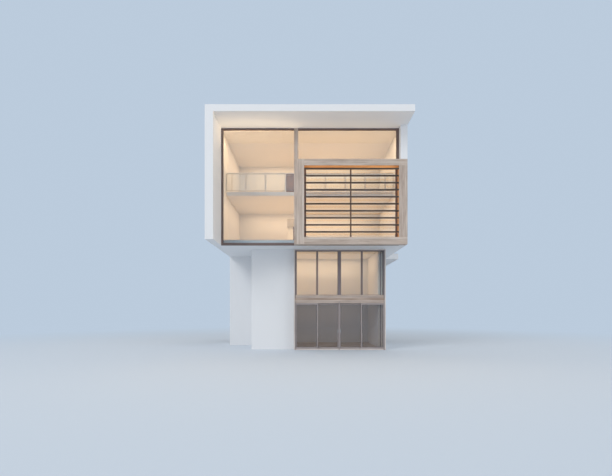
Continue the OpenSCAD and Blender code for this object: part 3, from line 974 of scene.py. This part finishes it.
@dataclass
class Glass:
    """Panes with a seal on both faces, all round."""

    seal_w: float = 0.008
    seal_t: float = 0.006
    house_nodes: tuple[str, ...] = (
        "big_window_pane", "clerestory_pane", "louvre_window_panes", "first_floor_panes",
        "fixed_door_panes", "lower_window_panes", "upper_window_panes",
        "gallery_balustrade_panes",
    )
    door_nodes: tuple[tuple[str, Body], ...] = (
        ("left_sliding_pane", Body.LEFT_DOOR), ("right_sliding_pane", Body.RIGHT_DOOR))

    def build(self) -> None:
        """Dresses the panes and adds their seals."""
        riders = [(name, Body.HOUSE) for name in self.house_nodes] + list(self.door_nodes)
        for name, body in riders:
            dress(DOOR_GLAZING if "door" in name or "sliding" in name else GLAZING, [name])
            ring = Piece(name.replace("panes", "seals").replace("pane", "seal"), bevel=0.0)
            for low, high in solids(name):
                self.seal(ring, low, high)
            ring.build([SEAL], "dark_frame", body=body)

    def seal(self, ring: Piece, low: Vector, high: Vector) -> None:
        """Adds the seals of one pane.

        Args:
            ring: Where the seals are collected.
            low: The pane's lowest corner.
            high: The pane's highest corner.
        """
        thin, wide = (1, 0) if high[1] - low[1] < high[0] - low[0] else (0, 1)
        w, t = self.seal_w, self.seal_t
        for near, far in ((low[thin] - t, low[thin]), (high[thin], high[thin] + t)):
            for side, inset in ((wide, 0.0), (2, w)):
                for end in (low[side], high[side] - w):
                    a, b = low.copy(), high.copy()
                    a[thin], b[thin] = near, far
                    a[wide] += inset
                    b[wide] -= inset
                    a[side], b[side] = end, end + w
                    ring.block(a, b)


@dataclass
class Frames:
    """Metal frames and the balustrade."""

    dark: tuple[str, ...] = (
        "upper_front_mullions", "upper_front_transoms", "lower_window_mullions",
        "lower_window_transoms", "upper_window_mullions", "upper_window_transoms",
    )
    leaves: tuple[str, ...] = ("fixed_door_leaves", "left_sliding_leaf", "right_sliding_leaf")

    def build(self) -> None:
        """Dresses the frames."""
        dress(DARK_FRAME, self.dark)
        dress(TAUPE_FRAME, ["first_floor_mullions"])
        dress(LEAF_FRAME, self.leaves)
        dress(WHITE_METAL, ["gallery_balustrade"])
        posts = Piece("bay_post_bars", seed=91)
        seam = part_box("bay_spandrel_board")[1][2]
        for low, high in solids("bay_posts"):
            posts.block(low, (high[0], high[1], seam), slot=1)
            posts.block((low[0], low[1], seam), high)
        posts.build([TAUPE_FRAME, LEAF_FRAME], "dark_frame", "bay_posts")


@dataclass
class DoorFittings:
    """Flush pulls outside and bow handles inside on the sliding leaves."""

    height: float = 1.05
    stile_w: float = 0.06
    cup: Steps = ((0.0, 0.020), (-0.002, 0.020), (-0.002, 0.0156), (-0.0004, 0.0148))
    cup_half: float = 0.07
    cup_sides: int = 28
    bow_foot: Steps = ((0.0, 0.016), (0.004, 0.016), (0.006, 0.009), (0.045, 0.009))
    bow_reach: float = 0.045
    bow_half: float = 0.16
    bow: Steps = ((-0.18, 0.0063), (-0.175, 0.009), (0.175, 0.009), (0.18, 0.0063))

    def build(self) -> None:
        """Fits both leaves."""
        for side, sign in (("left", 1), ("right", -1)):
            low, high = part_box(f"{side}_sliding_leaf")
            x = (high if sign > 0 else low)[0] - sign * self.stile_w / 2
            piece = Piece(f"{side}_sliding_handles", bevel=0.0, seed=71)
            piece.turned((x, low[1], self.height), Axis.Y, self.cup, self.cup_sides,
                         self.cup_half)
            for half in (-self.bow_half, self.bow_half):
                piece.turned((x, high[1], self.height + half), Axis.Y, self.bow_foot)
            piece.turned((x, high[1] + self.bow_reach, self.height), Axis.Z, self.bow)
            piece.build([STEEL], "dark_frame", body=Body(f"{side}_door"))


@dataclass
class GalleryDoor:
    """Boarded timber door of the gallery with its casing and lever handles."""

    board_w: float = 0.18
    gap: float = 0.004
    relief: float = 0.006
    casing_w: float = 0.07
    casing_t: float = 0.014
    lever_x: float = 0.06
    lever_z: float = 1.02
    lever_out: float = 0.044
    rose: Steps = ((0.0, 0.026), (0.006, 0.026), (0.009, 0.009), (0.048, 0.009))
    rose_sides: int = 24
    lever: Steps = ((-0.010, 0.0054), (-0.004, 0.009), (0.114, 0.009), (0.12, 0.0054))

    def build(self) -> None:
        """Builds the leaf, the casing and the handles."""
        low, high = box("gallery_room_door")
        leaf = Piece("gallery_door_leaf", bevel=0.002, seed=81)
        leaf.boards(split(low, high, Axis.X, self.board_w, self.gap))
        leaf.block((low[0], low[1] + self.relief, low[2]),
                   (high[0], high[1] - self.relief, high[2]))
        leaf.build([BROWN[Axis.Z]], "brown_timber", "gallery_room_door")
        casing = Piece("gallery_door_casing", bevel=0.002, seed=82)
        (_, wall_front, _), (_, wall_back, _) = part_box("upper_cross_wall")
        w = self.casing_w
        for near, far in ((wall_front - self.casing_t, wall_front),
                          (wall_back, wall_back + self.casing_t)):
            for x in (low[0] - w, high[0]):
                casing.block((x, near, low[2]), (x + w, far, high[2]))
            casing.block((low[0] - w, near, high[2]), (high[0] + w, far, high[2] + w))
        casing.build([BROWN[Axis.Z]], "brown_timber")
        handles = Piece("gallery_door_levers", bevel=0.0, seed=83)
        x, z = low[0] + self.lever_x, low[2] + self.lever_z
        for face, out in ((low[1], -1), (high[1], 1)):
            rose = tuple((out * along, radius) for along, radius in self.rose)
            handles.turned((x, face, z), Axis.Y, rose, self.rose_sides)
            handles.turned((x, face + out * self.lever_out, z), Axis.X, self.lever)
        handles.build([STEEL], "dark_frame")


@dataclass
class Room:
    """A rectangle of floor under one ceiling."""

    name: str
    low: Vector
    high: Vector
    ceiling: float
    light: float


@dataclass
class Rooms:
    """The rooms of the house, read from the model's walls and slabs."""

    lower_door: Pair = (-2.40, -1.50)
    upper_door: Pair = (-1.88, -0.98)
    slabs: tuple[str, ...] = (
        "ground_slab", "first_floor_slab", "upper_floor_slab", "gallery_floor", "roof_slab")
    lights: tuple[float, ...] = (0.45, 3.0, 3.4, 3.6)

    def plans(self) -> dict[str, dict[str, tuple[float, ...]]]:
        """Finds where the rooms lie.

        Returns:
            Storey to room to its left, front, right and back. The base has a strip behind the
            bay's frames and a nook beside the front room.
        """
        low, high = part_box("ground_slab")
        front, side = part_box("lower_front_wall")[1][1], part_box("lower_recessed_wall")[1][1]
        step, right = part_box("lower_return_wall")[1][0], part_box("lower_right_wall")[0][0]
        (_, near, _), (_, far, _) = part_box("lower_cross_wall")
        posts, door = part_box("bay_posts"), self.lower_door
        lower = {
            "bay": (posts[0][0], posts[1][1], right, front),
            "front": (step, front, right, near),
            "nook": (low[0], side, step, near),
            "rear": (low[0], far, right, high[1]),
            "doorway": (door[0], near, door[1], far),
        }
        low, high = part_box("upper_floor_slab")
        glass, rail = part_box("upper_front_mullions")[1][1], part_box("gallery_balustrade")[1][1]
        (_, near, _), (_, far, _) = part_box("upper_cross_wall")
        rear, door = (low[0], far, high[0], high[1]), self.upper_door
        upper = {"front": (low[0], glass, high[0], near), "rear": rear,
                 "doorway": (door[0], near, door[1], far)}
        gallery = {"front": (low[0], rail, high[0], near), "rear": rear}
        return {"ground": lower, "first": lower, "upper": upper, "gallery": gallery}

    def storeys(self) -> dict[str, list[Room]]:
        """Finds the rooms of each storey.

        Returns:
            Storey to rooms. Bays and doorways have no lamps of their own.
        """
        found = {}
        for (name, plan), slab, over, light in zip(
                self.plans().items(), self.slabs, self.slabs[1:], self.lights):
            top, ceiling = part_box(slab)[1][2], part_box(over)[0][2]
            found[name] = [
                Room(f"{name}_{part}", Vector((left, front, top)), Vector((right, back, top)),
                     ceiling, 0.0 if part in ("bay", "doorway") else light)
                for part, (left, front, right, back) in plan.items()]
        return found


@dataclass
class RoomFloors:
    """Oak boards in each room."""

    board_w: float = 0.18
    board_l: float = 2.2
    board_t: float = 0.014
    gap: float = 0.002
    margin: float = 0.004

    def build(self) -> None:
        """Lays the boards of every storey."""
        for storey, rooms in Rooms().storeys().items():
            piece = Piece(f"{storey}_floor_boards", bevel=0.0, seed=31)
            for room in rooms:
                self.lay(piece, room.low, room.high)
            piece.build([FLOOR_OAK])

    def lay(self, piece: Piece, low: Vector, high: Vector) -> None:
        """Lays staggered boards along X on one rectangle.

        Args:
            piece: Where the boards are collected.
            low: The rectangle's lowest corner.
            high: Its highest corner.
        """
        rows = math.ceil((high[1] - low[1] - 2 * self.margin) / self.board_w)
        for row in range(rows):
            y = low[1] + self.margin + row * self.board_w
            y_end = min(y + self.board_w - self.gap, high[1] - self.margin)
            x = low[0] + self.margin - self.board_l * piece.dice.random()
            while x < high[0] - self.margin:
                start = max(x, low[0] + self.margin)
                end = min(x + self.board_l - self.gap, high[0] - self.margin)
                if end > start:
                    piece.block((start, y, high[2]), (end, y_end, high[2] + self.board_t))
                x += self.board_l


@dataclass
class RoomLamps:
    """Warm soft lamps under the ceilings, and some that shine out through the front glass."""

    colour: Colour = (1.0, 0.68, 0.40)
    drop: float = 0.05
    reach: float = 0.86
    window_depth: float = 1.1
    window_light: float = 12.0
    upward: float = 0.33
    upward_height: float = 1.3
    head_light: float = 60.0
    head_shares: Pair = (1.15, 0.2)
    head_h: float = 0.20
    head_drop: float = 0.45
    head_tilt: float = 0.45
    louvre_light: float = 18.0
    glass_gap: float = 0.08

    def build(self) -> None:
        """Hangs a lamp under each ceiling, stands one that faces it, and lights the front."""
        glass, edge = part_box("upper_front_mullions")[1][1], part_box("gallery_floor")[0]
        post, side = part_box("tall_timber_post")[0][0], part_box("gallery_floor")[1][0]
        roof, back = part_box("roof_slab")[0][2], glass + self.window_depth
        voids = [Room(name, Vector((left, glass, edge[2])), Vector((right, back, edge[2])), roof,
                      self.window_light)
                 for name, left, right in (("big_window_void", edge[0], post),
                                           ("strip_window_void", post, side))]
        rooms = [room for storey in Rooms().storeys().values() for room in storey if room.light]
        for room in rooms + voids:
            size, middle = room.high - room.low, (room.low + room.high) / 2
            for way, z, turn, share in (
                    ("down", room.ceiling - self.drop, 0.0, 1.0),
                    ("up", room.high[2] + self.upward_height, math.pi, self.upward)):
                soft_lamp(f"{room.name}_{way}_lamp", (middle[0], middle[1], z), (turn, 0.0, 0.0),
                          (size[0] * self.reach, size[1] * self.reach),
                          room.light * share * size[0] * size[1], self.colour)
        for room, share in zip(voids, self.head_shares):
            top = room.ceiling - self.head_drop
            self.outward(f"{room.name}_head", (room.low[0], top - self.head_h / 2),
                         (room.high[0], top + self.head_h / 2), self.head_light * share,
                         self.head_tilt)
        low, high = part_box("louvre_slats")
        self.outward("louvre", (low[0], low[2]), (high[0], high[2]), self.louvre_light)

    def outward(self, name: str, low: Sequence[float], high: Sequence[float], power: float,
                tilt: float = 0.0) -> None:
        """Adds a lamp close behind the front glass that shines out through it.

        Args:
            name: The start of its name.
            low: Its left and its lower edge.
            high: Its right and its upper edge.
            power: Its power per square metre.
            tilt: How far it leans towards the sky.
        """
        width, height = high[0] - low[0], high[1] - low[1]
        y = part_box("upper_front_mullions")[1][1] + self.glass_gap
        soft_lamp(f"{name}_lamp", ((low[0] + high[0]) / 2, y, (low[1] + high[1]) / 2),
                  (-math.pi / 2 - tilt, 0.0, 0.0), (width * self.reach, height),
                  power * width * height, self.colour)


@dataclass
class Studio:
    """Plain pale floor, even background light and two soft lamps."""

    floor_radius: float = 160.0
    floor_sides: int = 96
    floor_drop: float = 0.002
    light_colour: Colour = (0.95, 0.975, 1.0)
    light_level: float = 0.60
    aim: Point = (0.0, 0.0, 6.0)
    key_place: Point = (-41.0, -55.0, 43.0)
    key_size: float = 32.0
    key_energy: float = 19000.0
    fill_place: Point = (50.0, -32.0, 20.0)
    fill_size: float = 28.0
    fill_energy: float = 5800.0

    def build(self) -> None:
        """Builds the floor, the background and the lamps."""
        self.floor()
        world = bpy.data.worlds.new("studio_sky")
        world.use_nodes = True
        graph = Graph(world.node_tree, "ShaderNodeOutputWorld")
        light, sky = (
            graph.node("ShaderNodeBackground", {"Color": (*colour, 1.0), "Strength": level})
            for colour, level in ((self.light_colour, self.light_level), (STUDIO_FLOOR.sky, 1.0)))
        graph.finish(graph.mix(graph.seen(), light.outputs[0], sky.outputs[0]))
        bpy.context.scene.world = world
        for name, place, size, power in (
                ("key_lamp", self.key_place, self.key_size, self.key_energy),
                ("fill_lamp", self.fill_place, self.fill_size, self.fill_energy)):
            toward = Vector(self.aim) - Vector(place)
            soft_lamp(name, place, toward.to_track_quat("-Z", "Y").to_euler(), (size, size),
                      power)

    def floor(self) -> None:
        """Makes the round floor."""
        points = circle((0.0, 0.0, 0.0), Axis.Z, self.floor_radius, self.floor_sides)
        mesh = bpy.data.meshes.new("studio_floor")
        mesh.from_pydata(points, [], [tuple(range(self.floor_sides))])
        mesh.materials.append(STUDIO_FLOOR.material())
        add_object("studio_floor", mesh, (0.0, 0.0, -self.floor_drop))


@dataclass
class PhotoCamera:
    """Level camera, square to the front, with a shifted lens."""

    place: Point = (-0.55, -25.46, 2.16)
    lens: float = 24.0
    sensor: float = 36.0
    image_w: int = 612
    horizon_below_middle: float = 73.0
    axis_right_of_middle: float = 1.4
    clip_end: float = 500.0

    def build(self) -> None:
        """Makes the scene's camera."""
        data = bpy.data.cameras.new("photo_camera")
        data.lens = self.lens
        data.sensor_width = self.sensor
        data.shift_y = self.horizon_below_middle / self.image_w
        data.shift_x = -self.axis_right_of_middle / self.image_w
        data.clip_end = self.clip_end
        made = add_object("photo_camera", data, self.place)
        made.rotation_euler = (math.pi / 2, 0.0, 0.0)
        bpy.context.scene.camera = made


def write_size() -> None:
    bpy.context.view_layer.update()


def main() -> None:
    """Builds the house's looks, the studio and the camera."""
    logging.basicConfig(level=logging.INFO, format="%(message)s")
    bpy.context.scene.view_settings.view_transform = "Standard"
    for part in (PhotoCamera(), Studio(), WhiteShell(), RoofTrim(), TerraceTiles(), Frames(),
                 Glass(), DoorFittings(), GalleryDoor(), LouvreBox(), BayTimber(),
                 RoomFloors(), RoomLamps()):
        LOG.info("Building %s", type(part).__name__)
        part.build()
    write_size()


if __name__ == "__main__":
    main()
